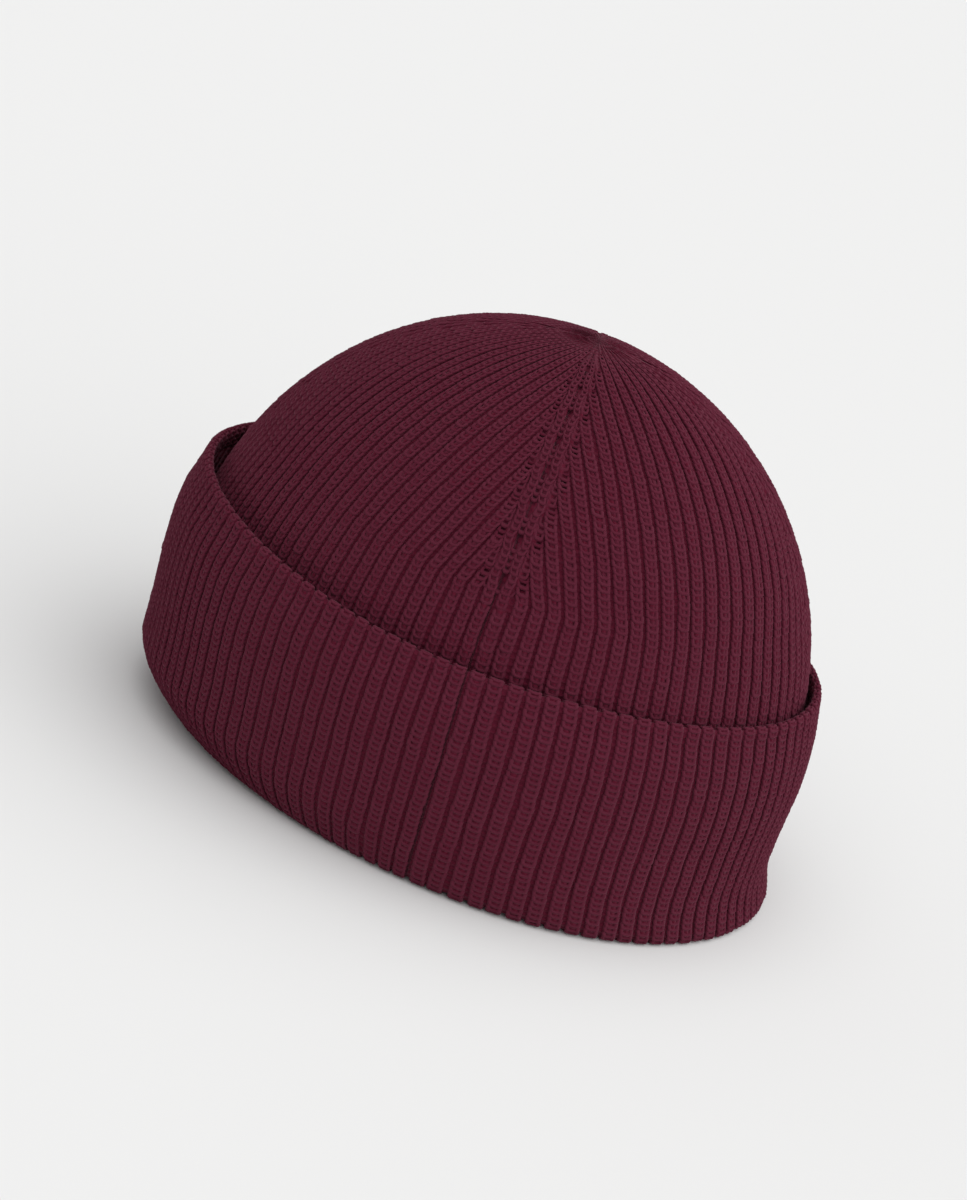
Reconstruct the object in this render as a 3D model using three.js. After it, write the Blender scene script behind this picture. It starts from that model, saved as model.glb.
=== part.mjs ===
// Ribbed beanie in millimetres: a knitted crown, and a cuff turned up round its foot.
// +Z is up, the front of the hat faces -Y and the wearer's left side is +X.
// Z = 0 is the plane of the opening, where the folded hem rests.

import * as THREE from "three";

// Fabric.
const RIBS = { front: 30, back: 26 }; // in a quarter of the hat
const CLOSENESS = { front: 1.4, back: 1.15, side: 1 }; // of the ribs, which the sides stretch most
const FABRIC = 3.2; // wall thickness over a rib
const RIB_DEPTH = 1.1; // from the top of a rib down to the valley beside it
const LAYER_GAP = 0.5; // least air between the cuff and the crown

// Cuff.
const CUFF_HEIGHT = 76;
const EDGE_RISE = { front: 5.5, back: -2.5, side: -2.5 }; // of the top edge, against CUFF_HEIGHT
const EDGE_ROUND = 1.2; // radius along the top edge

// Outside of the cuff, a row per fifth of its height from the hem up: its reach to the front
// and to the back, half its width, and the Y at which it is widest.
const CUFF_ROWS = [
  { front: 107, back: 107, halfWidth: 84, widest: 18 },
  { front: 107.5, back: 106.5, halfWidth: 84.8, widest: 13 },
  { front: 108.5, back: 106.5, halfWidth: 85.5, widest: 7 },
  { front: 110, back: 107, halfWidth: 85.5, widest: 2 },
  { front: 110, back: 105.5, halfWidth: 84, widest: -2 },
  { front: 106.6, back: 102.5, halfWidth: 79.5, widest: -6 },
];

// Near the hem the fabric rolls in at the front and spreads at the back.
const HEM_TUCK = { front: 17, back: -4.4, side: 1.5 };
const TUCK_HEIGHT = 18;

// Hem: the outer layer turns under over a flat foot and up to a short lip, and the crown's wall
// stands on the ledge that the lip makes.
const HEM_WIDTH = 2 * FABRIC + LAYER_GAP;
const HEM_ROUND = 2.4;
const HEM_CORNER = 0.3 * HEM_ROUND; // height and depth of the ring in the middle of that round
const LIP_HEIGHT = 6;

// Crown.
const CROWN_HEIGHT = 158;
const CROWN_TOP_Y = -3;
const CROWN_FOOT = LIP_HEIGHT + LAYER_GAP;
const DOME_FOOT = 49; // height of the dome's widest ring, inside the cuff
const DOME_CENTRE_Y = -2.5;
const DOME_DEPTH = { front: 6.8, back: 6.5, side: 8.8 }; // of that ring, in from the cuff's outside

// A dome section reaches cosine ** round outwards and sine ** lift upwards.
const DOME_ROUND = { front: 0.98, back: 1.01, side: 1.02 };
const DOME_LIFT = { front: 1.02, back: 1.01, side: 1.04 };

// Four lines part the ribs into quarters, at the front, the back and both sides. Those at the
// sides lean forward up the cuff and keep one turn on the dome.
const SIDE_LINE = { hem: -1.6, edge: -6 }; // Y on the cuff
const SIDE_TURN = THREE.MathUtils.degToRad(86); // on the dome
const SIDE_BLEND = 0.32; // climb of the dome at which that turn is reached

// Decreases: above this climb of the dome, ribs end in pairs on those lines, a pair on each line
// for every step of the climb. The last ribs are gathered at the top.
const DECREASE_CLIMB = 0.45;
const DECREASE_STEP = 0.1175;
const RIBS_LOST = 8; // from a quarter's half
const LOST_BY_RING = 2;

// Rings of points: heights below the dome where both layers have one, the height of one more on
// the cuff's outside, the climb of one on the crown between the dome's foot and its decreases, and
// the number of ribs from one point to the next.
const SHARED_HEIGHTS = [9, 15, 24, DOME_FOOT];
const OUTSIDE_HEIGHT = 65;
const PLAIN_CLIMB = 0.24;
const RIB_BY_RIB = 1;
const RIB_AND_VALLEY = 0.5;

const QUARTER_TURN = Math.PI / 2;
const HALF_RIBS = [RIBS.front / 2, RIBS.back / 2, RIBS.back / 2, RIBS.front / 2];
const STEP = 0.01; // for slopes, in radians or millimetres

// A value that differs to the front, the back and the sides, at a turn round the hat. The turn is
// 0 at the front and a quarter turn at the wearer's left side.
function byDirection(values, turn) {
  const front = Math.max(Math.cos(turn), 0) ** 2;
  const back = Math.max(-Math.cos(turn), 0) ** 2;
  const side = Math.sin(turn) ** 2;
  return values.front * front + values.back * back + values.side * side;
}

// One column of CUFF_ROWS at a share of the cuff's height.
function cuffColumn(name, share) {
  const points = CUFF_ROWS.map((row, index) => new THREE.Vector2(index, row[name]));
  return new THREE.SplineCurve(points).getPoint(THREE.MathUtils.clamp(share, 0, 1)).y;
}

// Plan of the cuff's outside at a height: an egg made of two half ellipses.
function cuffPlan(turn, height) {
  const share = height / CUFF_HEIGHT;
  const tuck = byDirection(HEM_TUCK, turn) * Math.max(1 - height / TUCK_HEIGHT, 0) ** 2;
  const widest = cuffColumn("widest", share);
  const along = Math.cos(turn);
  const reach = along > 0 ? cuffColumn("front", share) + widest : cuffColumn("back", share) - widest;
  const across = (cuffColumn("halfWidth", share) - tuck) * Math.sin(turn);
  return new THREE.Vector2(across, widest - (reach - tuck) * along);
}

// A point of the cuff, a depth of fabric in from its outside. The depth is laid off level, and is
// stretched where the outside slopes, so that the wall keeps its thickness.
function cuffPoint(turn, height, depth) {
  const plan = cuffPlan(turn, height);
  const along = cuffPlan(turn + STEP, height).sub(cuffPlan(turn - STEP, height)).normalize();
  const outward = new THREE.Vector2(along.y, -along.x);
  const spread = cuffPlan(turn, height + STEP).sub(cuffPlan(turn, height - STEP));
  const slope = spread.dot(outward) / (2 * STEP);
  plan.addScaledVector(outward, -depth * Math.hypot(1, slope));
  const lift = 1 + byDirection(EDGE_RISE, turn) / CUFF_HEIGHT;
  return new THREE.Vector3(plan.x, plan.y, height * lift);
}

// Outside of the crown. Climb runs from -1 at its foot to 0 at the dome's widest ring, and on to a
// quarter turn at the top.
function crownSurface(turn, climb) {
  const widest = cuffPoint(turn, DOME_FOOT, byDirection(DOME_DEPTH, turn)).setZ(DOME_FOOT);
  if (climb < 0) {
    const height = THREE.MathUtils.mapLinear(climb, -1, 0, CROWN_FOOT, DOME_FOOT);
    const beside = cuffPoint(turn, height, FABRIC + LAYER_GAP);
    return beside.lerp(widest.setZ(height), THREE.MathUtils.smoothstep(climb, -1, 0));
  }
  const reach = Math.cos(climb) ** byDirection(DOME_ROUND, turn);
  const rise = Math.sin(climb) ** byDirection(DOME_LIFT, turn);
  const centreY = THREE.MathUtils.lerp(DOME_CENTRE_Y, CROWN_TOP_Y, rise);
  return new THREE.Vector3(
    widest.x * reach,
    centreY + (widest.y - DOME_CENTRE_Y) * reach,
    THREE.MathUtils.lerp(DOME_FOOT, CROWN_HEIGHT, rise),
  );
}

// A point of the crown, a depth of fabric in from its outside and square to it, though never
// below the crown's foot.
function crownPoint(turn, climb, depth) {
  const along = crownSurface(turn + STEP, climb).sub(crownSurface(turn - STEP, climb));
  const up = crownSurface(turn, climb + STEP).sub(crownSurface(turn, climb - STEP));
  const outward = along.cross(up).normalize();
  const point = crownSurface(turn, climb).addScaledVector(outward, -depth);
  return point.setZ(Math.max(point.z, crownSurface(turn, -1).z));
}

// Turn of the line at the wearer's left side, at a height of the cuff.
function cuffSide(height) {
  const share = height / CUFF_HEIGHT;
  const widest = cuffColumn("widest", share);
  const forward = widest - THREE.MathUtils.lerp(SIDE_LINE.hem, SIDE_LINE.edge, share);
  return Math.acos(forward / (cuffColumn("front", share) + widest));
}

// The same at a climb of the crown.
function crownSide(climb) {
  const height = THREE.MathUtils.mapLinear(Math.min(climb, 0), -1, 0, CROWN_FOOT, DOME_FOOT);
  const blend = THREE.MathUtils.smoothstep(climb, 0, SIDE_BLEND);
  return THREE.MathUtils.lerp(cuffSide(height), SIDE_TURN, blend);
}

// The climb of a height below the dome.
function climbOfHeight(height) {
  return THREE.MathUtils.mapLinear(height, CROWN_FOOT, DOME_FOOT, -1, 0);
}

// The climb at which half a quarter has lost this many ribs.
function climbAfter(lost) {
  return DECREASE_CLIMB + lost * DECREASE_STEP;
}

// A quarter of an outline round the hat, from one line to the next. Side is the turn of the line
// at the wearer's left side.
class QuarterOutline extends THREE.Curve {
  constructor(outline, quarter, side) {
    super();
    this.outline = outline;
    this.lines = [0, side, Math.PI, 2 * Math.PI - side, 2 * Math.PI].slice(quarter, quarter + 2);
  }

  turnAt(share) {
    return THREE.MathUtils.lerp(...this.lines, share);
  }

  getPoint(share) {
    return this.outline(this.turnAt(share), 0);
  }

  // Lengths along the outline, counted longer where ribs lie closer.
  getLengths(divisions = this.arcLengthDivisions) {
    if (!this.lengths) {
      this.lengths = [0];
      for (let n = 1; n <= divisions; n++) {
        const step = this.getPoint(n / divisions).distanceTo(this.getPoint((n - 1) / divisions));
        const closeness = byDirection(CLOSENESS, this.turnAt(n / divisions));
        this.lengths.push(this.lengths[n - 1] + step * closeness);
      }
    }
    return this.lengths;
  }

  // The turn after a share of those lengths.
  turnAtLength(share) {
    return this.turnAt(this.getUtoTmapping(share));
  }
}

// Collects rings of points and bridges them with triangles.
class RingMesh {
  constructor() {
    this.points = [];
    this.triangles = [];
  }

  // A ring through outline(turn, depth). Each quarter lists its points by place, which counts ribs
  // from the quarter's middle. Between two ribs, and on the lines, is a valley.
  addRing(outline, side, { lost = 0, spacing = RIB_BY_RIB, depth = 0, relief = 0 } = {}) {
    const ring = [];
    const first = this.points.length;
    HALF_RIBS.forEach((most, quarter) => {
      const half = most - lost;
      const curve = new QuarterOutline(outline, quarter, side);
      const points = [];
      for (let place = -half; place < half; place += spacing) {
        const turn = curve.turnAtLength((place + half) / (2 * half));
        const inValley = Number.isInteger(place + half);
        points.push({ place, index: this.points.length });
        this.points.push(outline(turn, depth + (inValley ? relief : 0)));
      }
      ring.push(points);
    });
    ring.forEach((points, quarter) => {
      const next = ring[quarter + 1]?.[0].index ?? first;
      points.push({ place: -points[0].place, index: next });
    });
    return ring;
  }

  // A ring that is a single point.
  addPole(point) {
    const pole = { place: 0, index: this.points.length };
    this.points.push(point);
    return HALF_RIBS.map(() => [pole]);
  }

  // Triangles between two rings, rib to rib. Ribs that end on the way close on the last one.
  bridge(from, to) {
    from.forEach((low, quarter) => {
      const high = to[quarter];
      let i = 0;
      let j = 0;
      while (i < low.length - 1 || j < high.length - 1) {
        const lowNext = low[i + 1];
        const highNext = high[j + 1];
        if (!highNext || (lowNext && lowNext.place <= highNext.place)) {
          this.triangles.push(low[i].index, lowNext.index, high[j].index);
          i++;
        } else {
          this.triangles.push(low[i].index, highNext.index, high[j].index);
          j++;
        }
      }
    });
  }

  // Triangles through a list of rings, and back to the first of them.
  bridgeLoop(rings) {
    rings.forEach((ring, n) => this.bridge(ring, rings[(n + 1) % rings.length]));
  }

  geometry() {
    const geometry = new THREE.BufferGeometry().setFromPoints(this.points);
    geometry.setIndex(this.triangles);
    geometry.computeVertexNormals();
    return geometry;
  }
}

// Cuff: one closed section carried round the hat, from the foot up the outside, over the top
// edge, down the inside to the ledge, and round the lip back to the foot.
function makeCuff() {
  const mesh = new RingMesh();
  const ring = (height, depth, options) =>
    mesh.addRing((turn, extra) => cuffPoint(turn, height, depth + extra), cuffSide(height), options);
  const ribbed = { spacing: RIB_AND_VALLEY, relief: RIB_DEPTH };
  const outside = [HEM_ROUND, ...SHARED_HEIGHTS, OUTSIDE_HEIGHT, CUFF_HEIGHT - EDGE_ROUND];
  mesh.bridgeLoop([
    ring(0, HEM_ROUND),
    ring(HEM_CORNER, HEM_CORNER, ribbed),
    ...outside.map((height) => ring(height, 0, ribbed)),
    ring(CUFF_HEIGHT, EDGE_ROUND),
    ring(CUFF_HEIGHT, FABRIC - EDGE_ROUND),
    ring(CUFF_HEIGHT - EDGE_ROUND, FABRIC),
    ...SHARED_HEIGHTS.toReversed().map((height) => ring(height, FABRIC)),
    ring(LIP_HEIGHT, FABRIC),
    ring(LIP_HEIGHT, HEM_WIDTH),
    ring(HEM_ROUND, HEM_WIDTH),
    ring(0, HEM_WIDTH - HEM_ROUND),
  ]);
  return mesh.geometry();
}

// Crown: its outside from the foot to the top, and its inside back down to the foot.
function makeCrown() {
  const mesh = new RingMesh();
  const ring = (climb, options) =>
    mesh.addRing((turn, depth) => crownPoint(turn, climb, depth), crownSide(climb), options);
  const ribbed = { spacing: RIB_AND_VALLEY, relief: RIB_DEPTH };
  const losses = [];
  for (let lost = 0; lost <= RIBS_LOST; lost += LOST_BY_RING) losses.push(lost);
  const top = crownSurface(0, QUARTER_TURN);
  mesh.bridgeLoop([
    ring(-1),
    ...SHARED_HEIGHTS.map((height) => ring(climbOfHeight(height))),
    ring(PLAIN_CLIMB, ribbed),
    ...losses.map((lost) => ring(climbAfter(lost), { ...ribbed, lost })),
    mesh.addPole(top),
    mesh.addPole(top.clone().setZ(CROWN_HEIGHT - FABRIC)),
    ...losses.toReversed().map((lost) => ring(climbAfter(lost), { lost, depth: FABRIC })),
    ring(PLAIN_CLIMB, { depth: FABRIC }),
    ...SHARED_HEIGHTS.toReversed().map((height) => ring(climbOfHeight(height), { depth: FABRIC })),
    ring(-1, { depth: FABRIC }),
  ]);
  return mesh.geometry();
}

function knitted(name, geometry, color) {
  const wool = new THREE.MeshStandardMaterial({ color, roughness: 0.95, metalness: 0 });
  const mesh = new THREE.Mesh(geometry, wool);
  mesh.name = name;
  return mesh;
}

const beanie = new THREE.Group();
beanie.add(knitted("crown", makeCrown(), 0x5f2635));
beanie.add(knitted("cuff", makeCuff(), 0x5a2432));

export default beanie;
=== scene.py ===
# %% [markdown]
# # A ribbed wool beanie
# The hat is one tube of chunky rib knit. It closes at the top along four decrease lines, and its
# foot is turned up into a deep cuff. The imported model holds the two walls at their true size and
# stands still; this script dresses them. First the shape of the hat is set up as formulas, then
# one stitch is modelled, repeated into flat swatches and wrapped onto that shape.

import math

import bpy
import numpy as np
from mathutils import Matrix, Vector


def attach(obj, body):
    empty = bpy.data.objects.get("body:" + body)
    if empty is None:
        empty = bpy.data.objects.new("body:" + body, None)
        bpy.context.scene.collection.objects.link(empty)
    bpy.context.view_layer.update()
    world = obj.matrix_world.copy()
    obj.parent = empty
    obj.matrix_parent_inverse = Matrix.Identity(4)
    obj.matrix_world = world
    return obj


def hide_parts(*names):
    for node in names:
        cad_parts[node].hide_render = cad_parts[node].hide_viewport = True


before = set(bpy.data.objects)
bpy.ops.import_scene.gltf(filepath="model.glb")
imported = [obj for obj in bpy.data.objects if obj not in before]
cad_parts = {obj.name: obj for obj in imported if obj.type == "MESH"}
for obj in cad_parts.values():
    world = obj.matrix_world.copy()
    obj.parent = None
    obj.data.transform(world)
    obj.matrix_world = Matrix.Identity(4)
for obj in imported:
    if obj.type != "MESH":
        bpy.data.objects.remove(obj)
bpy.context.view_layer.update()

# %% [markdown]
# ## The sizes of the hat
# These are the sizes that the solids were made from, in metres. The cuff is a stack of egg-shaped
# outlines, one for each fifth of its height. The crown is a dome that starts inside the cuff. They
# are repeated here because the stitches have to follow the same surfaces.

# %% Sizes of the fabric, the cuff and the crown
QUARTERS = 4
QUARTER_TURN = math.pi / 2
RIBS = np.array([30, 26, 26, 30])  # in each quarter, from the front left one round
HALF_RIBS = RIBS / 2
CLOSENESS = {"front": 1.4, "back": 1.15, "side": 1.0}  # of the ribs, which the sides stretch most
FABRIC = 0.0032
LAYER_GAP = 0.0005

CUFF_HEIGHT = 0.076
EDGE_RISE = {"front": 0.0055, "back": -0.0025, "side": -0.0025}
CUFF_ROWS = {  # from the hem up, a value for each fifth of the height
    "front": [0.107, 0.1075, 0.1085, 0.110, 0.110, 0.1066],
    "back": [0.107, 0.1065, 0.1065, 0.107, 0.1055, 0.1025],
    "half_width": [0.084, 0.0848, 0.0855, 0.0855, 0.084, 0.0795],
    "widest": [0.018, 0.013, 0.007, 0.002, -0.002, -0.006],
}
HEM_TUCK = {"front": 0.017, "back": -0.0044, "side": 0.0015}  # how far the hem rolls in
TUCK_HEIGHT = 0.018  # height at which it no longer does
HEM_WIDTH = 2 * FABRIC + LAYER_GAP
LIP_HEIGHT = 0.006

CROWN_HEIGHT = 0.158
CROWN_TOP_Y = -0.003
CROWN_FOOT = LIP_HEIGHT + LAYER_GAP
DOME_FOOT = 0.049
DOME_CENTRE_Y = -0.0025
DOME_DEPTH = {"front": 0.0068, "back": 0.0065, "side": 0.0088}  # in from the cuff's outside
DOME_ROUND = {"front": 0.98, "back": 1.01, "side": 1.02}
DOME_LIFT = {"front": 1.02, "back": 1.01, "side": 1.04}
SIDE_LINE = {"hem": -0.0016, "edge": -0.006}  # Y of the side's line on the cuff
SIDE_TURN = math.radians(86)  # turn of that line on the dome
SIDE_BLEND = 0.32  # climb of the dome at which it reaches that turn
DECREASE_CLIMB = 0.45
DECREASE_STEP = 0.1175  # climb from the end of one rib to the end of the next
STEP = 0.00001  # for slopes, in radians or metres
CLEARANCE = 0.00002  # of the hem over the floor, and of the crown over the cuff's ledge
print("ribs round the hat:", RIBS.sum())

# %% [markdown]
# ## Where a point of the fabric lies
# A point is named the way a knitter would name it: which way round the hat, how far up, and how
# deep in the fabric. All of these functions take whole arrays, so that a quarter of a million
# points can be placed at once.


# %% Helpers for mixing values
SOFT = 0.1  # half of the width over which between() fades


def ramp(low, high, value):
    """0 below low, 1 above high, and a smooth step from one to the other."""
    share = np.clip((value - low) / (high - low), 0, 1)
    return share * share * (3 - 2 * share)


def between(low, high, value):
    """1 between low and high and 0 outside, with a smooth step at both."""
    return ramp(low - SOFT, low + SOFT, value) * ramp(high + SOFT, high - SOFT, value)


def by_direction(values, turn):
    """Mixes the values for the front, the back and the side. A turn of 0 is the front."""
    front = np.maximum(np.cos(turn), 0) ** 2
    back = np.maximum(-np.cos(turn), 0) ** 2
    side = np.sin(turn) ** 2
    return values["front"] * front + values["back"] * back + values["side"] * side


def points_of(x, y, z):
    return np.stack(np.broadcast_arrays(x, y, z), axis=-1)


def unit(vectors):
    return vectors / np.maximum(np.linalg.norm(vectors, axis=-1, keepdims=True), 1e-12)


# %% The cuff's surface
def cuff_column(name, height):
    """One row of CUFF_ROWS at a height, on a smooth curve through its values."""
    values = np.array(CUFF_ROWS[name])
    last = len(values) - 1
    at = np.clip(height / CUFF_HEIGHT, 0, 1) * last
    i = np.floor(at).astype(int)
    t = at - i
    before, here = values[np.maximum(i - 1, 0)], values[i]
    after, beyond = values[np.minimum(i + 1, last)], values[np.minimum(i + 2, last)]
    slope_here, slope_after = (after - before) / 2, (beyond - here) / 2
    cubic = 2 * here - 2 * after + slope_here + slope_after
    square = -3 * here + 3 * after - 2 * slope_here - slope_after
    return cubic * t**3 + square * t**2 + slope_here * t + here


def cuff_plan(turn, height):
    """The cuff's outline at a height, drawn on the floor."""
    tuck = by_direction(HEM_TUCK, turn) * np.maximum(1 - height / TUCK_HEIGHT, 0) ** 2
    widest = cuff_column("widest", height)
    along = np.cos(turn)
    front, back = cuff_column("front", height) + widest, cuff_column("back", height) - widest
    reach = np.where(along > 0, front, back)
    x = (cuff_column("half_width", height) - tuck) * np.sin(turn)
    return points_of(x, widest - (reach - tuck) * along, 0 * x)


def cuff_point(turn, height, depth):
    """A point a depth of fabric in from the outside of the cuff."""
    along = unit(cuff_plan(turn + STEP, height) - cuff_plan(turn - STEP, height))
    outward = points_of(along[..., 1], -along[..., 0], 0)
    spread = cuff_plan(turn, height + STEP) - cuff_plan(turn, height - STEP)
    slope = (spread * outward).sum(-1) / (2 * STEP)
    inset = (depth * np.hypot(1, slope))[..., None]
    point = cuff_plan(turn, height) - outward * inset
    point[..., 2] = height * (1 + by_direction(EDGE_RISE, turn) / CUFF_HEIGHT)
    return point


# %% The crown's surface
def crown_surface(turn, climb):
    """Climb is -1 at the foot, 0 at the dome's widest ring and a quarter turn at the top."""
    widest = cuff_point(turn, DOME_FOOT + 0 * turn, by_direction(DOME_DEPTH, turn))
    widest[..., 2] = DOME_FOOT
    up = np.clip(climb, 0, QUARTER_TURN)
    reach = np.maximum(np.cos(up), 0) ** by_direction(DOME_ROUND, turn)
    rise = np.sin(up) ** by_direction(DOME_LIFT, turn)
    centre_y = DOME_CENTRE_Y + (CROWN_TOP_Y - DOME_CENTRE_Y) * rise
    y = centre_y + (widest[..., 1] - DOME_CENTRE_Y) * reach
    z = DOME_FOOT + (CROWN_HEIGHT - DOME_FOOT) * rise
    dome = points_of(widest[..., 0] * reach, y, z)
    height = CROWN_FOOT + (DOME_FOOT - CROWN_FOOT) * (np.minimum(climb, 0) + 1)
    beside = cuff_point(turn, height, FABRIC + LAYER_GAP + 0 * turn)
    widest[..., 2] = height
    foot = beside + (widest - beside) * ramp(-1, 0, climb)[..., None]
    return np.where((climb < 0)[..., None], foot, dome)


def crown_point(turn, climb, lift):
    """A point above (or, with a negative lift, below) the crown's outside, square to it."""
    firm = np.minimum(climb, QUARTER_TURN - 0.01)  # the top itself has no slope to measure
    along = crown_surface(turn + STEP, firm) - crown_surface(turn - STEP, firm)
    up = crown_surface(turn, firm + STEP) - crown_surface(turn, firm - STEP)
    return crown_surface(turn, climb) + unit(np.cross(along, up)) * np.asarray(lift)[..., None]


# %% [markdown]
# ## Ribs at their distances
# Four lines part the ribs into quarters. The ones at the front and the back stand straight, and
# the ones at the sides lean forward up the cuff. The sides are stretched most, so ribs lie closer
# to each other towards the front. For a list of levels the outline's length is measured once,
# counted longer where ribs are closer, and a share of it is turned into an angle by looking it up.


# %% The lines at the sides
def cuff_side(height):
    """Turn of the line at the wearer's left side."""
    widest = cuff_column("widest", height)
    y = SIDE_LINE["hem"] + (SIDE_LINE["edge"] - SIDE_LINE["hem"]) * height / CUFF_HEIGHT
    return np.arccos((widest - y) / (cuff_column("front", height) + widest))


def crown_side(climb):
    """Turn of the same line on the crown."""
    height = CROWN_FOOT + (DOME_FOOT - CROWN_FOOT) * (np.minimum(climb, 0) + 1)
    on_cuff = cuff_side(height)
    return on_cuff + (SIDE_TURN - on_cuff) * ramp(0, SIDE_BLEND, climb)


# %% Spacing along an outline
class Spacing:
    """The turns at even shares of each quarter, on an outline at each of a list of levels."""

    SHARES = np.linspace(0, 1, 65)
    FINE = np.linspace(0, 1, 257)

    def __init__(self, outline, side, levels):
        self.levels = levels
        self.table = np.array([self.quarters(outline, side(v), v) for v in levels]).swapaxes(0, 1)

    def quarters(self, outline, side, level):
        lines = [0, side, math.pi, 2 * math.pi - side, 2 * math.pi]
        return [self.row(outline, lines[q], lines[q + 1], level) for q in range(QUARTERS)]

    def row(self, outline, first, last, level):
        turns = first + (last - first) * self.FINE
        points = outline(turns, level + 0 * turns)
        steps = np.linalg.norm(np.diff(points, axis=0), axis=1)
        length = np.concatenate([[0], np.cumsum(steps * by_direction(CLOSENESS, turns[1:]))])
        return np.interp(self.SHARES, length / length[-1], turns)

    def turn(self, quarter, share, level):
        """The angle at a share of a quarter. A share past 1 runs on into the next quarter."""
        whole = np.floor(share)
        q = (quarter + whole).astype(int) % QUARTERS
        row = np.interp(level, self.levels, np.arange(len(self.levels)))
        column = (share - whole) * (len(self.SHARES) - 1)
        r = np.minimum(row.astype(int), len(self.levels) - 2)
        c = np.minimum(column.astype(int), len(self.SHARES) - 2)
        row, column = row - r, column - c
        low = self.table[q, r, c] * (1 - column) + self.table[q, r, c + 1] * column
        high = self.table[q, r + 1, c] * (1 - column) + self.table[q, r + 1, c + 1] * column
        return low * (1 - row) + high * row


cuff_levels = np.linspace(0, CUFF_HEIGHT, 20)
cuff_spacing = Spacing(lambda t, h: cuff_point(t, h, 0 * t), cuff_side, cuff_levels)
dome_levels = np.concatenate([np.linspace(-1, -0.1, 8), np.linspace(0, QUARTER_TURN - 0.02, 40)])
crown_spacing = Spacing(crown_surface, crown_side, dome_levels)


# %% Ribs left on the crown
def ribs_lost(climb):
    """Ribs that half a quarter has lost. They run straight up to the decreases, then end singly."""
    return np.maximum(climb - DECREASE_CLIMB, 0) / DECREASE_STEP


def ribs_left(quarter, climb):
    return HALF_RIBS[quarter] - ribs_lost(climb)


def place_on_crown(quarter, place, climb, lift):
    """Place counts ribs from the quarter's middle."""
    half = ribs_left(quarter, climb)
    turn = crown_spacing.turn(quarter, (place + half) / (2 * half), climb)
    return crown_point(turn, climb, lift)


# %% [markdown]
# ## The cuff seen in section
# Cut across, the cuff is a fold of fabric: it comes down inside the hat, turns under at the hem,
# runs up the outside, rolls over the top edge and ends behind it. That section is drawn once as
# arcs joined by straight stretches. Walking along it tells how high and how deep a row of
# stitches lies and which way it faces.

# %% Section of the cuff
HEM_ROUND = 0.0032
EDGE_ROUND = 0.0016
BEHIND_EDGE = 0.006  # length of the fabric that is worked in stitches behind the top edge
EDGE_SOFTENS = 0.005  # distance under the edge from which its valleys get shallower
ARC_STEPS = 13


def arc(depth, height, radius, first, last):
    """Points of an arc as depth, height and the direction that the fabric faces there."""
    facing = np.radians(np.linspace(first, last, ARC_STEPS))
    faces = np.stack([np.cos(facing), -np.sin(facing)])
    return np.vstack([np.array([[depth], [height]]) + radius * faces, faces])


section = np.hstack([
    np.array([[HEM_WIDTH], [LIP_HEIGHT], [1], [0]]),
    arc(HEM_WIDTH - HEM_ROUND, HEM_ROUND, HEM_ROUND, 0, 90),
    arc(HEM_ROUND, HEM_ROUND, HEM_ROUND, 90, 180),
    np.array([[0], [CUFF_HEIGHT - EDGE_SOFTENS], [-1], [0]]),
    arc(EDGE_ROUND, CUFF_HEIGHT - EDGE_ROUND, EDGE_ROUND, 180, 360),
    np.array([[FABRIC], [CUFF_HEIGHT - EDGE_ROUND - BEHIND_EDGE], [1], [0]]),
])
section_length = np.concatenate([[0], np.cumsum(np.hypot(*np.diff(section[:2], axis=1)))])
print("fabric in the cuff's section, mm:", round(1000 * section_length[-1], 1))


def place_on_cuff(quarter, place, along, lift):
    """Place counts ribs from the quarter's middle, along runs up the section."""
    at = [np.interp(along, section_length, row) for row in section]
    depth, height, out_depth, out_height = at
    turn = cuff_spacing.turn(quarter, place / RIBS[quarter] + 0.5, height)
    point = cuff_point(turn, height + out_height * lift, depth + out_depth * lift)
    point[..., 2] = np.maximum(point[..., 2], CLEARANCE)  # the hem rests flat
    return point


# %% [markdown]
# ## One stitch
# Seen from outside, each rib of this knit is a ladder: two rails of yarn with a rung for every
# course and a dark eye between two rungs. One stitch of it is a U of thick yarn, whose two legs
# go down behind the rung of the next stitch. A path curve gives the U, its bevel gives the yarn,
# and with five sides it stays light, because it is repeated thousands of times.

# %% Model the stitch
RIB = 0.0054  # from one rib to the next
COURSE = 0.00195  # from one row of stitches to the next
YARN_RADIUS = 0.0007
YARN_SIDES = 5
LEG = [  # one half of the U: across the rib, up the rib, and out of the fabric, in millimetres
    (0.66, 0.00, 0.92),
    (1.48, 0.34, 1.06),
    (1.56, 1.40, 0.92),
    (1.20, 2.50, 0.25),
]
STITCH_TOP = 0.00176  # height of the yarn's top over the stitch's own floor


def only(piece):
    """Selects one object and nothing else, and makes it the active one."""
    bpy.ops.object.select_all(action="DESELECT")
    piece.select_set(True)
    bpy.context.view_layer.objects.active = piece


bpy.ops.object.select_all(action="DESELECT")
bpy.ops.mesh.primitive_circle_add(vertices=YARN_SIDES, radius=YARN_RADIUS)
bpy.ops.object.convert(target="CURVE")
yarn_profile = bpy.context.object

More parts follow.
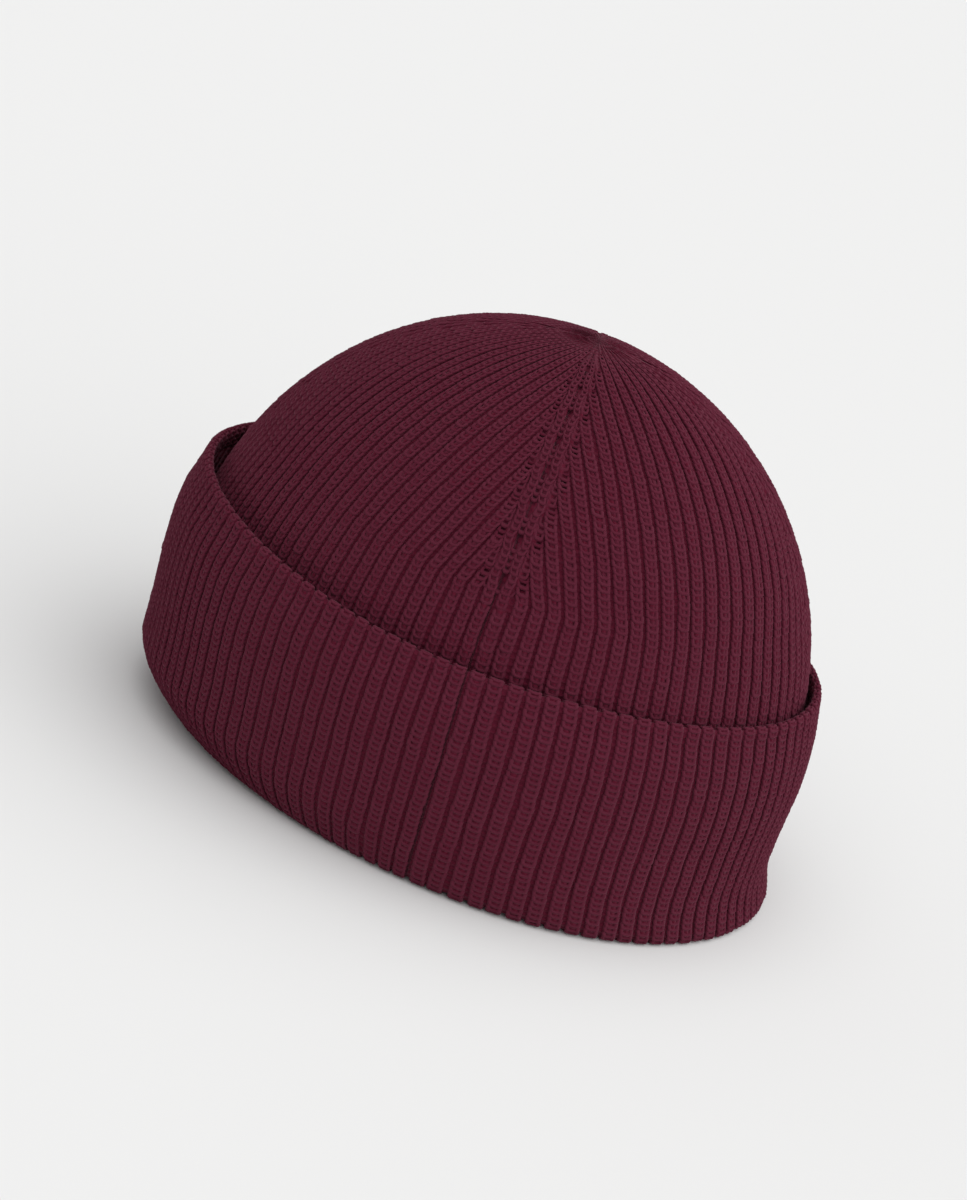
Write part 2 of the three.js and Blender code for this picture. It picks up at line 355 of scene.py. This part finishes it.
bpy.ops.object.select_all(action="DESELECT")
bpy.ops.curve.primitive_nurbs_path_add(location=(0, 0, 0))
stitch = bpy.context.object
stitch.name = "stitch"
half_u = np.array(LEG) * 0.001
u_path = np.vstack([half_u[::-1] * (-1, 1, 1), half_u])
bpy.ops.object.mode_set(mode="EDIT")
bpy.ops.curve.spline_type_set(type="POLY")
bpy.ops.curve.select_all(action="DESELECT")
stitch.data.splines[0].points[-1].select = True
while len(stitch.data.splines[0].points) < len(u_path):
    bpy.ops.curve.extrude_move(TRANSFORM_OT_translate={"value": (YARN_RADIUS, 0, 0)})
bpy.ops.object.mode_set(mode="OBJECT")
for point, place in zip(stitch.data.splines[0].points, u_path):
    point.co = (*place, 1)
stitch.data.bevel_mode = "OBJECT"
stitch.data.bevel_object = yarn_profile
stitch.data.use_fill_caps = True
bpy.ops.object.convert(target="MESH")
bpy.ops.object.mode_set(mode="EDIT")
bpy.ops.mesh.select_all(action="SELECT")
bpy.ops.mesh.remove_doubles(threshold=0.00001)
bpy.ops.mesh.normals_make_consistent(inside=False)
bpy.ops.object.mode_set(mode="OBJECT")
bpy.ops.object.shade_smooth()
bpy.data.objects.remove(yarn_profile)
STITCH_POINTS = len(stitch.data.vertices)
print("stitch:", STITCH_POINTS, "points,", len(stitch.data.polygons), "faces")

# %% [markdown]
# ## Swatches
# A knitter's swatch is flat: ribs side by side, courses one above another. Two array modifiers
# repeat the stitch into one, so that the stitch stays the only thing whose points are listed. As
# each copy keeps the order of its points, a point's number tells which stitch it belongs to.

# %% Repeat the stitch into a swatch
def read_points(piece):
    co = np.empty(len(piece.data.vertices) * 3)
    piece.data.vertices.foreach_get("co", co)
    return co.reshape(-1, 3)


def write_points(piece, points):
    piece.data.vertices.foreach_set("co", points.ravel())
    piece.data.update()


def write_value(piece, name, values):
    attributes = piece.data.attributes
    attribute = attributes.get(name) or attributes.new(name, "FLOAT", "POINT")
    attribute.data.foreach_set("value", np.asarray(values, dtype=np.float32))


def repeat(piece, count, step):
    array = piece.modifiers.new("repeat", "ARRAY")
    array.use_relative_offset = False
    array.use_constant_offset = True
    array.constant_offset_displace = step
    array.count = count
    bpy.ops.object.modifier_apply(modifier=array.name)


def swatch(name, ribs, courses):
    piece = stitch.copy()
    piece.data = stitch.data.copy()
    piece.name = piece.data.name = name
    bpy.context.scene.collection.objects.link(piece)
    only(piece)
    repeat(piece, ribs, (RIB, 0, 0))
    repeat(piece, courses, (0, COURSE, 0))
    return piece


def keep_stitches(piece, wanted):
    """Deletes the stitches that aren't wanted, as unravelled rows are."""
    only(piece)
    bpy.ops.object.mode_set(mode="EDIT")
    bpy.ops.mesh.select_all(action="DESELECT")
    bpy.ops.object.mode_set(mode="OBJECT")
    piece.data.vertices.foreach_set("select", np.repeat(~wanted, STITCH_POINTS))
    bpy.ops.object.mode_set(mode="EDIT")
    bpy.ops.mesh.delete(type="VERT")
    bpy.ops.object.mode_set(mode="OBJECT")


# %% [markdown]
# ## Handmade unevenness
# Even machine knitting isn't perfectly straight. Each rib wanders a little to both sides on its
# way up, and every stitch sits a touch off its place. Both come from sine waves and from one
# seeded generator, so that the hat comes out the same every time.

# %% Wander and jitter
WANDER = 0.0275  # of a rib's width, to either side, for a wave of weight 1
WAVES = [(0.0105, 1), (0.0048, 0.6), (0.0023, 0.45)]  # length of a radian of each, and its weight
JITTER = (0.00007, 0.00009, 0.00006)  # across, up and out
DEEP_SHADE = 0.25  # painted shade: lightness of the yarn deep in the knitting, against 1 at its top
draw = np.random.default_rng(7)
wander_phase = draw.uniform(0, 2 * math.pi, (RIBS.sum(), len(WAVES)))
first_rib = np.cumsum(RIBS) - RIBS


def wander(rib, up):
    """Sideways shift of a rib, in ribs, at a distance up it."""
    waves = 0
    for k, (length, weight) in enumerate(WAVES):
        waves = waves + weight * np.sin(up / length + wander_phase[rib, k])
    return WANDER * waves


# Painted shade: the lower a point lies in its stitch, the darker its colour.
def painted_yarn_shade(height):
    return DEEP_SHADE + (1 - DEEP_SHADE) * np.ravel(height) / STITCH_TOP


def loose_swatch(name, ribs, courses):
    """A swatch, the row and column of each of its stitches, and where each point lies inside its
    own stitch, with the jitter of that stitch added."""
    piece = swatch(name, ribs, courses)
    rows, columns = [v.ravel() for v in np.indices((courses, ribs))]
    inside = read_points(piece).reshape(len(rows), STITCH_POINTS, 3)
    inside = inside - points_of(columns * RIB, rows * COURSE, 0)[:, None, :]
    shift = draw.normal(0, 1, (len(rows), 1, 3)) * JITTER
    write_value(piece, "tone", np.repeat(draw.uniform(0, 1, len(rows)), STITCH_POINTS))
    write_value(piece, "painted_shade", painted_yarn_shade(inside[..., 2]))
    return piece, rows, columns, inside + shift


# %% [markdown]
# ## Knit the cuff
# Four swatches, one for each quarter, go round the cuff. Wrapping is done by a formula instead of
# a Lattice or Curve modifier, because a stitch's place in ribs, courses and height over the
# fabric is exactly what the functions above turn into a point of the hat.

# %% Wrap swatches onto the cuff
QUARTER_NAMES = ["front_left", "back_left", "back_right", "front_right"]
FIRST_COURSE = 0.3  # courses from the end of the section to the first stitch
courses_up = int(section_length[-1] / COURSE)
knit = {"cuff": [], "crown": []}

for quarter, side in enumerate(QUARTER_NAMES):
    name = "cuff_knit_" + side
    piece, rows, columns, inside = loose_swatch(name, RIBS[quarter], courses_up)
    along = (rows[:, None] + FIRST_COURSE) * COURSE + inside[..., 1]
    rib = first_rib[quarter] + columns
    place = columns[:, None] - HALF_RIBS[quarter] + 0.5 + inside[..., 0] / RIB
    place = place + wander(rib, along[:, 0])[:, None]
    along = np.clip(along, 0, section_length[-1])
    lift = inside[..., 2] - STITCH_TOP
    write_points(piece, place_on_cuff(quarter, place, along, lift).reshape(-1, 3))
    knit["cuff"].append(piece)
    print(piece.name, len(piece.data.polygons), "faces")

# %% [markdown]
# ## Knit the crown
# Above the cuff all ribs go on. Where the decreases start, each quarter becomes a wedge: one after
# another, its ribs bend along the line beside it and go under the line's own rib. Courses bow
# outwards between the centre of a wedge and its edges, because stitches stay nearly square to
# their ribs.

# %% Wrap wedges onto the crown
CROWN_COURSE = 0.0022
KNIT_FROM = 0.066  # height on the crown at which stitches start, hidden inside the cuff
RIB_ENDS = 0.55  # distance from the line, in ribs, at which a rib of the wedge ends
RIB_BENDS = 0.92  # least distance at which it runs along the line
BEND_EASE = 0.24  # how gently it gets there, in ribs
RIB_DIVES = (1.25, 0.65)  # distances between which it goes down under the line's own rib
DIVE_DEPTH = 0.0011
DIVE_SHADE = 0.7  # painted shade: by how much darker it is there
GATHERED = 1.50  # climb at which the last ribs have gone down into the top of the hat
GATHER = 0.08  # climb over which they do
BOW = 0.6  # how strongly a course bows
BOW_CLIMB = 1.2  # climb from which it does so in full
FULL_WIDTH = 0.8  # a rib that is narrower than this, against its width low down, loses height
LEAST_HEIGHT = 0.3  # what is left of it at least
LINE_CLIMB = DECREASE_CLIMB - 0.03  # from here up the two ribs beside a line belong to its band
fine_climb = np.linspace(0, QUARTER_TURN, 400)
meridian = crown_surface(0 * fine_climb + QUARTER_TURN / 2, fine_climb)
up_meridian = np.concatenate([[0], np.cumsum(np.linalg.norm(np.diff(meridian, axis=0), axis=1))])
knit_start = float(np.interp(KNIT_FROM, meridian[:, 2], up_meridian))
crown_courses = round((up_meridian[-1] - knit_start) / CROWN_COURSE)
print("courses on the crown:", crown_courses)


def climb_up(length):
    """The climb at a distance up from the first course."""
    return np.interp(knit_start + length, up_meridian, fine_climb)


def bowed(quarter, climb, place):
    """The climb of a point on a course that is at the given climb in the middle of its wedge."""
    bow = BOW * ramp(DECREASE_CLIMB, BOW_CLIMB, climb) * np.sin(climb) ** 2
    reach = np.cos(climb)
    for _ in range(4):
        half = ribs_left(quarter, np.arccos(np.clip(reach, 0, 1)))
        off_centre = np.clip(place / half, -1, 1) * QUARTER_TURN / 2
        reach = np.cos(climb) * np.exp(bow * off_centre**2 / 2)
    return np.arccos(np.clip(reach, 0, 1))


def along_line(place, half):
    """Place of a rib of the wedge, bent so that it runs along the line instead of across it."""
    distance = half - np.abs(place)
    bent = RIB_BENDS + BEND_EASE * np.logaddexp(0, (distance - RIB_BENDS) / BEND_EASE)
    return np.sign(place) * (half - bent)


def narrowing(quarter, climb):
    """1 where ribs have their full height, and less where they are drawn together at the top."""
    width = np.cos(climb) * HALF_RIBS[quarter] / ribs_left(quarter, climb)
    return np.clip(width / FULL_WIDTH, LEAST_HEIGHT, 1)


for quarter, side in enumerate(QUARTER_NAMES):
    name = "crown_knit_" + side
    piece, rows, columns, inside = loose_swatch(name, RIBS[quarter], crown_courses)
    middle = columns - HALF_RIBS[quarter] + 0.5
    climb = bowed(quarter, climb_up((rows + 1.0) * CROWN_COURSE), middle)
    wanted = (ribs_left(quarter, climb) - np.abs(middle) > RIB_ENDS) & (climb < GATHERED)
    wanted |= climb < LINE_CLIMB
    wanted &= (np.abs(middle) < HALF_RIBS[quarter] - 1) | (climb < LINE_CLIMB)
    keep_stitches(piece, wanted)
    rows, columns, middle, inside = rows[wanted], columns[wanted], middle[wanted], inside[wanted]
    along = rows[:, None] * CROWN_COURSE + inside[..., 1] * CROWN_COURSE / COURSE
    climb = bowed(quarter, climb_up(along), middle[:, None])
    half = ribs_left(quarter, climb)
    rib = first_rib[quarter] + columns
    centre = middle[:, None] + wander(rib, along[:, 0])[:, None]
    centre = np.where(climb > DECREASE_CLIMB, along_line(centre, half), centre)
    dive = ramp(*RIB_DIVES, half - np.abs(middle[:, None])) * (climb > LINE_CLIMB)
    lift = (inside[..., 2] - STITCH_TOP) * narrowing(quarter, climb) - DIVE_DEPTH * dive
    lift = lift - DIVE_DEPTH * ramp(GATHERED - GATHER, GATHERED, climb)
    # Painted shade: the yarn darker the lower it lies in its stitch, and darker still where it
    # dives.
    write_value(piece, "painted_shade", painted_yarn_shade(inside[..., 2]) - DIVE_SHADE * dive.ravel())
    place = centre + inside[..., 0] / RIB
    write_points(piece, place_on_crown(quarter, place, climb, lift).reshape(-1, 3))
    knit["crown"].append(piece)
    print(piece.name, len(piece.data.polygons), "faces")

# %% [markdown]
# ## The decrease lines
# Up each line run two ribs that are drawn in to narrow ropes. Where ribs of the wedges go under
# them, stitches are also worked over the valley between the ropes and over the hollows beside
# them, which closes these for a few courses. Between two decreases they stay open and dark, and
# that darkness is also painted into their colour as shade.

# %% Wrap the bands onto the decrease lines
BAND = np.array([  # of each column: ribs from the line, width against a rib's, depth in metres
    (-1.15, 0.90, 0.00045),
    (-0.46, 0.74, 0),
    (0, 0.72, 0.00045),
    (0.46, 0.74, 0),
    (1.15, 0.90, 0.00045),
])
OPEN = (0.30, 0.66)  # of the way from one decrease to the next
BOW_OUT = 0.16  # of a rib, by which the ropes bow aside where they are open
BAND_ENDS = 1.44  # climb at which the ropes have gone down into the top of the hat
DRAW_IN = 0.12  # climb over which two ribs become ropes
AHEAD = 0.01  # climb from the foot of a stitch to its middle


def open_phase(climb):
    """1 in the middle of the open stretch between two decreases, and 0 where it is closed."""
    return between(*OPEN, ribs_lost(climb) % 1)


line_start = float(np.interp(LINE_CLIMB, fine_climb, up_meridian)) - knit_start
line_courses = int((up_meridian[-1] - knit_start - line_start) / CROWN_COURSE)

for quarter, side in enumerate(["left", "back", "right", "front"]):
    name = "decrease_band_" + side
    piece, rows, columns, inside = loose_swatch(name, len(BAND), line_courses)
    climb = climb_up(line_start + rows * CROWN_COURSE)
    closed = (open_phase(climb + AHEAD) < 0.5) & (climb > DECREASE_CLIMB + AHEAD)
    wanted = (climb < BAND_ENDS) & (closed | (columns % 2 == 1))
    keep_stitches(piece, wanted)
    rows, inside = rows[wanted, None], inside[wanted]
    offset, width, depth = BAND[columns[wanted], :, None].swapaxes(0, 1)
    along = line_start + rows * CROWN_COURSE + inside[..., 1] * CROWN_COURSE / COURSE
    climb = climb_up(along)
    drawn_in = ramp(LINE_CLIMB, LINE_CLIMB + DRAW_IN, climb)
    offset = offset + BOW_OUT * open_phase(climb) * np.sign(offset) * (np.abs(offset) < 1)
    offset = offset + (1 - drawn_in) * (np.sign(offset) * 0.5 - offset)
    place = offset + inside[..., 0] * (1 + (width - 1) * drawn_in) / RIB
    place = place + ribs_left(quarter, climb)
    lift = (inside[..., 2] - STITCH_TOP) * narrowing(quarter, climb) - depth
    lift = lift - DIVE_DEPTH * ramp(BAND_ENDS - GATHER, BAND_ENDS, climb)
    write_points(piece, place_on_crown(quarter, place, climb, lift).reshape(-1, 3))
    knit["crown"].append(piece)
    print(piece.name, len(piece.data.polygons), "faces")

bpy.data.objects.remove(stitch)

# %% [markdown]
# ## The fabric behind the stitches
# Between two ribs of knitting lie the backs of other stitches, sunk and dark, and the inside of
# the hat is ribbed too. Each wall is therefore a closed skin: plain where stitches cover it and
# ribbed where it shows. It is a flat grid that is folded round once, along the outside and back
# along the inside, and then closed. Its colour has painted shade, darkest in valleys and hollows.

# %% A skin from a grid
SUNK = 0.0013  # depth of the fabric's floor in a valley, under the top of a rib
EYE_DEPTH = {"cuff": 0.00055, "crown": 0.00042}  # of the same floor under a rib
INNER_RIB = (0.1, 0.75)  # where a rib of the inside starts and is full, on a wave from 0 to 1
VALLEY_SHADE = 0.25  # painted shade: lightness of a valley of the outside
EYE_SHADE = 0.2  # and by how much less painted shade the floor has under a rib
WALL_COLUMNS = 150  # in each quarter


def skin(name, rows, wrap):
    """A closed skin from a grid that wrap(quarter, share of the quarter, row) puts in place."""
    around = QUARTERS * WALL_COLUMNS
    bpy.ops.object.select_all(action="DESELECT")
    bpy.ops.mesh.primitive_grid_add(x_subdivisions=around, y_subdivisions=rows, size=2)
    piece = bpy.context.object
    piece.name = piece.data.name = name
    flat = (read_points(piece)[:, :2] + 1) / 2
    column, row = np.round(flat * (around, rows)).astype(int).T
    quarter = np.minimum(column // WALL_COLUMNS, QUARTERS - 1)
    points, painted_lightness, knitted = wrap(quarter, column / WALL_COLUMNS - quarter, row)
    write_points(piece, points)
    write_value(piece, "tone", 0.5 + 0 * painted_lightness)
    write_value(piece, "painted_shade", painted_lightness)
    write_value(piece, "ribs_round", knitted[0])
    write_value(piece, "courses_along", knitted[1])
    only(piece)
    bpy.ops.object.mode_set(mode="EDIT")
    bpy.ops.mesh.select_all(action="SELECT")
    bpy.ops.mesh.remove_doubles(threshold=0.000005)
    bpy.ops.mesh.delete_loose(use_verts=True, use_edges=True, use_faces=False)
    bpy.ops.mesh.select_all(action="SELECT")
    bpy.ops.mesh.normals_make_consistent(inside=False)
    bpy.ops.object.mode_set(mode="OBJECT")
    bpy.ops.object.shade_smooth()
    print(name, len(piece.data.vertices), "points,", len(piece.data.polygons), "faces")
    return piece


def inner_rib(column):
    """1 on a rib of the inside, which lies behind a valley of the outside, and 0 beside it."""
    return ramp(*INNER_RIB, 0.5 + 0.5 * np.cos(2 * math.pi * column))


def floor_depth(column, eye_depth):
    return eye_depth + (SUNK - eye_depth) * inner_rib(column)


# %% The crown's wall
INNER_DEPTH = 0.0013  # from the top of an inner rib to the valley beside it
CROWN_ROWS = 68
TOP_ROW = 46  # the outside has rows 0 to here, the inside the rest
FOOT_SHARE = 0.2  # of each side's rows, below the dome
WALL_FOOT = LIP_HEIGHT + CLEARANCE
BAND_STARTS = (-0.02, 0.08)  # climb from LINE_CLIMB over which the floor changes to the band's
ROPE = (0.2, 0.75)  # distances from the line, in ribs, between which a rope lies
ROPE_FLOOR = 0.0007  # depth of the floor there
ROPE_SHADE = 0.3  # and by how much less painted shade it has
SLIT = (0.1, 0.3)  # distances at which the hollow between the two ropes ends
HOLLOW = (0.95, 1.45)  # distances between which the hollow beside a rope lies
HOLLOW_FLOOR = 0.0020  # depth of the floor in a hollow
INSIDE_SHADE = 0.4  # painted shade: lightness of a valley of the inside, and what a rib has more


def wrap_crown(quarter, share, row):
    outside = (row <= TOP_ROW) | (row == CROWN_ROWS)
    up = np.where(outside, row / TOP_ROW, (CROWN_ROWS - 1 - row) / (CROWN_ROWS - 2 - TOP_ROW))
    up = np.where(row == CROWN_ROWS, 0, up)
    climb = np.where(up < FOOT_SHARE, up / FOOT_SHARE - 1, 0)
    climb = climb + np.clip((up - FOOT_SHARE) / (1 - FOOT_SHARE), 0, 1) * QUARTER_TURN
    half = ribs_left(quarter, climb)
    place = (share * 2 - 1) * half
    column = place + HALF_RIBS[quarter]
    distance = half - np.abs(place)
    decreasing = ramp(LINE_CLIMB + BAND_STARTS[0], LINE_CLIMB + BAND_STARTS[1], climb) * outside
    rope = decreasing * between(*ROPE, distance)
    hollow = 1 - ramp(*SLIT, distance) + between(*HOLLOW, distance)
    hollow = hollow * decreasing * open_phase(climb)
    rib = inner_rib(column)
    floor = floor_depth(column, EYE_DEPTH["crown"]) * (1 - rope) + ROPE_FLOOR * rope
    floor = floor * (1 - hollow) + HOLLOW_FLOOR * hollow
    depth = np.where(outside, floor, FABRIC - INNER_DEPTH * (1 - rib))
    points = crown_point(crown_spacing.turn(quarter, share, climb), climb, -depth)
    points[:, 2] = np.where(up <= 0, WALL_FOOT, np.maximum(points[:, 2], WALL_FOOT))
    top = up > 0.999
    points[top] = points[top] * (0, 0, 1) + (0, CROWN_TOP_Y, 0)
    # Painted shade: valleys dark inside and out, a lighter floor under a rib, darkest in a hollow.
    inside_shade = INSIDE_SHADE + INSIDE_SHADE * rib
    painted_lightness = np.where(outside, VALLEY_SHADE + EYE_SHADE * (1 - rib), inside_shade)
    painted_lightness = painted_lightness * (1 - hollow) + ROPE_SHADE * rope
    length = np.interp(climb, fine_climb, up_meridian)
    length = length + np.minimum(climb, 0) * (DOME_FOOT - CROWN_FOOT)
    return points, painted_lightness, (column, length / CROWN_COURSE)


crown_wall = skin("crown_wall", CROWN_ROWS, wrap_crown)

# %% The cuff's wall
CUFF_WALL_ROWS = 56
PLAIN_ROWS = 0.2  # rows that the plain face has for its length, against elsewhere
VALLEY_RISE = 0.0006  # by which its valleys are shallower at the top edge
INNER_FACE = 0.0029  # depth of the cuff's plain face towards the crown
edge_rise = VALLEY_RISE * ramp(CUFF_HEIGHT - EDGE_SOFTENS, CUFF_HEIGHT - EDGE_ROUND, section[1])
floor_of_section = section[:2] - section[2:] * (SUNK - edge_rise)
back_of_wall = np.array([
    [INNER_FACE, INNER_FACE, floor_of_section[0, 0]],
    [floor_of_section[1, -1], LIP_HEIGHT, LIP_HEIGHT],
])
wall_path = np.hstack([floor_of_section, back_of_wall])
wall_steps = np.hypot(*np.diff(wall_path, axis=1))
wall_length = np.concatenate([[0], np.cumsum(wall_steps)])
wall_steps[section.shape[1]:] *= PLAIN_ROWS
wall_rows = np.concatenate([[0], np.cumsum(wall_steps)])
wall_rows *= CUFF_WALL_ROWS / wall_rows[-1]


def wrap_cuff(quarter, share, row):
    along = np.interp(row, wall_rows, wall_length)
    depth, height = [np.interp(along, wall_length, values) for values in wall_path]
    column = share * RIBS[quarter]
    straight = (depth < SUNK + 0.0001) & (height < CUFF_HEIGHT - EDGE_ROUND)  # up the outside
    rise = np.maximum(depth - floor_depth(column, EYE_DEPTH["cuff"]), 0) * straight
    points = cuff_point(cuff_spacing.turn(quarter, share, height), height, depth - rise)
    points[:, 2] = np.maximum(points[:, 2], CLEARANCE)
    # Painted shade: a valley darker than the floor under a rib.
    painted_lightness = VALLEY_SHADE + EYE_SHADE * (1 - inner_rib(column))
    return points, painted_lightness, (column, along / COURSE)


cuff_wall = skin("cuff_wall", CUFF_WALL_ROWS, wrap_cuff)

# %% [markdown]
# ## Wool
# Stitches and walls are the same wool. The yarn is a deep wine red, and its colour has painted
# shade: darker down between the stitches, where light only arrives from other wool. Each stitch
# has its own slight tone, fibres are fine noise in colour and bump, and sheen gives the pale bloom
# that wool has where it turns away. On the walls a bump pattern of rails and rungs stands in for
# stitches, with rungs painted lighter than the shaded eyes.

# %% Helpers for materials
def add_node(tree, kind, **settings):
    node = tree.nodes.new(kind)
    for name, value in settings.items():
        setattr(node, name, value)
    return node


def link(tree, source, target):
    tree.links.new(source, target)


def value_of(tree, name):
    return add_node(tree, "ShaderNodeAttribute", attribute_name=name).outputs["Fac"]


def calculate(tree, operation, *terms):
    node = add_node(tree, "ShaderNodeMath", operation=operation)
    for socket, term in zip(node.inputs, terms):
        if isinstance(term, (int, float)):
            socket.default_value = term
        else:
            link(tree, term, socket)
    return node.outputs[0]


def ramp_colours(tree, factor, stops):
    node = add_node(tree, "ShaderNodeValToRGB")
    elements = node.color_ramp.elements
    while len(elements) < len(stops):
        elements.new(0.5)
    for element, (position, colour) in zip(elements, stops):
        element.position = position
        element.color = (*colour, 1)
    link(tree, factor, node.inputs["Fac"])
    return node.outputs["Color"]


def set_inputs(node, values):
    for name, value in values.items():
        node.inputs[name].default_value = value


def noise(tree, values):
    node = add_node(tree, "ShaderNodeTexNoise")
    link(tree, add_node(tree, "ShaderNodeTexCoord").outputs["Object"], node.inputs["Vector"])
    set_inputs(node, values)
    return node.outputs["Fac"]


def bump(tree, height, values):
    node = add_node(tree, "ShaderNodeBump")
    link(tree, height, node.inputs["Height"])
    set_inputs(node, values)
    return node


# %% The wool material
YARN_COLOURS = [  # wine red with painted shade, from a hollow and a valley to the top of the yarn
    (0.0, (0.034, 0.0026, 0.0088)),
    (0.25, (0.070, 0.0054, 0.0168)),
    (0.65, (0.083, 0.0091, 0.0222)),
    (1.0, (0.095, 0.0138, 0.0290)),
]
EYE_COLOUR = (0.45, (0.095, 0.0058, 0.0190))  # on a wall: deep wool, lit red by its neighbours
WOOL = {
    "Roughness": 0.92,
    "Specular IOR Level": 0.10,
    "Sheen Weight": 0.12,
    "Sheen Roughness": 0.45,
    "Sheen Tint": (0.80, 0.38, 0.48, 1),
}
MOTTLE = {"Scale": 900, "Detail": 3.0, "Roughness": 0.6}
FIBRES = {"Scale": 1900, "Detail": 4.0, "Roughness": 0.65}
FIBRE_BUMP = {"Strength": 0.5, "Distance": 0.00018}
LADDER_BUMP = {"Strength": 0.8, "Distance": 0.0007}
MOTTLE_RANGE = 0.40  # of lightness, in all
TONE_RANGE = 0.20  # of lightness, from the darkest stitch to the lightest
RAIL_SLOPE = 4.0  # how steeply a rail rises beside the rungs
RAIL_SOFT = 0.2  # how softly a rail runs into a rung
RUNG_SHADE = 0.35  # painted shade: by how much lighter a rung is than an eye


def make_wool(name, laddered):
    """A ladder of rails and rungs is a bump pattern that only the walls have; its rungs are also
    painted lighter than the shaded eyes.
    """
    wool = bpy.data.materials.new(name)
    wool.use_nodes = True
    tree = wool.node_tree
    shader = tree.nodes["Principled BSDF"]
    set_inputs(shader, WOOL)

    mottle = noise(tree, MOTTLE)
    mottle = calculate(tree, "MULTIPLY_ADD", mottle, MOTTLE_RANGE, -MOTTLE_RANGE / 2)
    tone = value_of(tree, "tone")
    tone = calculate(tree, "MULTIPLY_ADD", tone, TONE_RANGE, -TONE_RANGE / 2)
    # Painted shade from the mesh, plus the wool's real mottle and tone.
    painted_shade_and_tone = calculate(tree, "ADD", value_of(tree, "painted_shade"), calculate(tree, "ADD", mottle, tone))
    fibres = bump(tree, noise(tree, FIBRES), FIBRE_BUMP)
    link(tree, fibres.outputs["Normal"], shader.inputs["Normal"])
    if laddered:
        across = calculate(tree, "PINGPONG", value_of(tree, "ribs_round"), 0.5)
        rail = calculate(tree, "MULTIPLY", across, RAIL_SLOPE)
        turns = calculate(tree, "MULTIPLY", value_of(tree, "courses_along"), 2 * math.pi)
        rung = calculate(tree, "MULTIPLY_ADD", calculate(tree, "COSINE", turns), 0.5, 0.5)
        ladder = bump(tree, calculate(tree, "SMOOTH_MAX", rail, rung, RAIL_SOFT), LADDER_BUMP)
        link(tree, ladder.outputs["Normal"], fibres.inputs["Normal"])
        # Painted shade: a rung lighter than the eyes beside it.
        painted_shade_and_tone = calculate(tree, "MULTIPLY_ADD", rung, RUNG_SHADE, painted_shade_and_tone)
    stops = YARN_COLOURS[:2] + [EYE_COLOUR] * laddered + YARN_COLOURS[2:]
    link(tree, ramp_colours(tree, painted_shade_and_tone, stops), shader.inputs["Base Color"])
    return wool


yarn_wool = make_wool("wine_wool_yarn", laddered=False)
wall_wool = make_wool("wine_wool_fabric", laddered=True)

# %% [markdown]
# ## Everything in its place
# The walls stand for the two solids, and the stitches go with them.

# %% Materials and bodies
for piece in knit["cuff"] + knit["crown"]:
    piece.data.materials.append(yarn_wool)
for piece in (crown_wall, cuff_wall):
    piece.data.materials.append(wall_wool)

for node, wall in (("crown", crown_wall), ("cuff", cuff_wall)):
    for piece in [wall] + knit[node]:
        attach(piece, "root")
        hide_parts(node)

# %% [markdown]
# ## Floor, light and camera
# A pale floor that fills the view and broad soft light keep the wool's own colour and its small
# relief. The hat rests on its hem. The camera looks at its left side from a little above, and is
# rolled, so that the hat leans in the picture as it does on a head that looks down.

# %% Floor
FLOOR_SIZE = 12
FLOOR = {"Base Color": (0.72, 0.72, 0.717, 1), "Roughness": 0.95}
bpy.ops.object.select_all(action="DESELECT")
bpy.ops.mesh.primitive_plane_add(size=FLOOR_SIZE, location=(0, 0, 0))
floor = bpy.context.object
floor.name = "floor"
paper = bpy.data.materials.new("pale_floor")
paper.use_nodes = True
set_inputs(paper.node_tree.nodes["Principled BSDF"], FLOOR)
floor.data.materials.append(paper)

# %% Light
SKY = {"Color": (1, 1, 1, 1), "Strength": 0.465}
SUN_FROM = Vector((0.28, 0.50, 1.15))
SUN_ENERGY = 2.64
SUN_WIDTH = math.radians(120)  # so wide that its shadows have no edge
sky = bpy.data.worlds.new("soft_sky")
sky.use_nodes = True
set_inputs(sky.node_tree.nodes["Background"], SKY)
bpy.context.scene.world = sky
bpy.ops.object.light_add(type="SUN", location=SUN_FROM)
sun = bpy.context.object
sun.name = "window"
sun.data.energy = SUN_ENERGY
sun.data.angle = SUN_WIDTH
sun.rotation_euler = SUN_FROM.to_track_quat("Z", "Y").to_euler()

# %% Camera
AIM = Vector((0, 0.0033, 0.076))
AZIMUTH, ELEVATION, ROLL = math.radians(88.76), math.radians(22.35), math.radians(20.95)
DISTANCE = 1.5675
ASIDE, DOWN = 0.0150, 0.0070  # of the picture's centre from AIM
LENS, SENSOR = 149.2, 36  # in millimetres
toward = Vector((
    math.sin(AZIMUTH) * math.cos(ELEVATION),
    -math.cos(AZIMUTH) * math.cos(ELEVATION),
    math.sin(ELEVATION),
))
level_right = Vector((0, 0, 1)).cross(toward).normalized()
level_up = toward.cross(level_right)
right = level_right * math.cos(ROLL) + level_up * math.sin(ROLL)
up = level_up * math.cos(ROLL) - level_right * math.sin(ROLL)
centre = AIM - right * ASIDE - up * DOWN
eye = AIM + toward * DISTANCE
back = (eye - centre).normalized()
right = up.cross(back).normalized()
up = back.cross(right)
bpy.ops.object.camera_add(location=eye)
camera = bpy.context.object
camera.matrix_world = Matrix.Translation(eye) @ Matrix((right, up, back)).transposed().to_4x4()
camera.data.lens = LENS
camera.data.sensor_width = SENSOR
bpy.context.scene.camera = camera
bpy.context.scene.view_settings.view_transform = "Standard"
print("camera at", [round(v, 3) for v in eye])
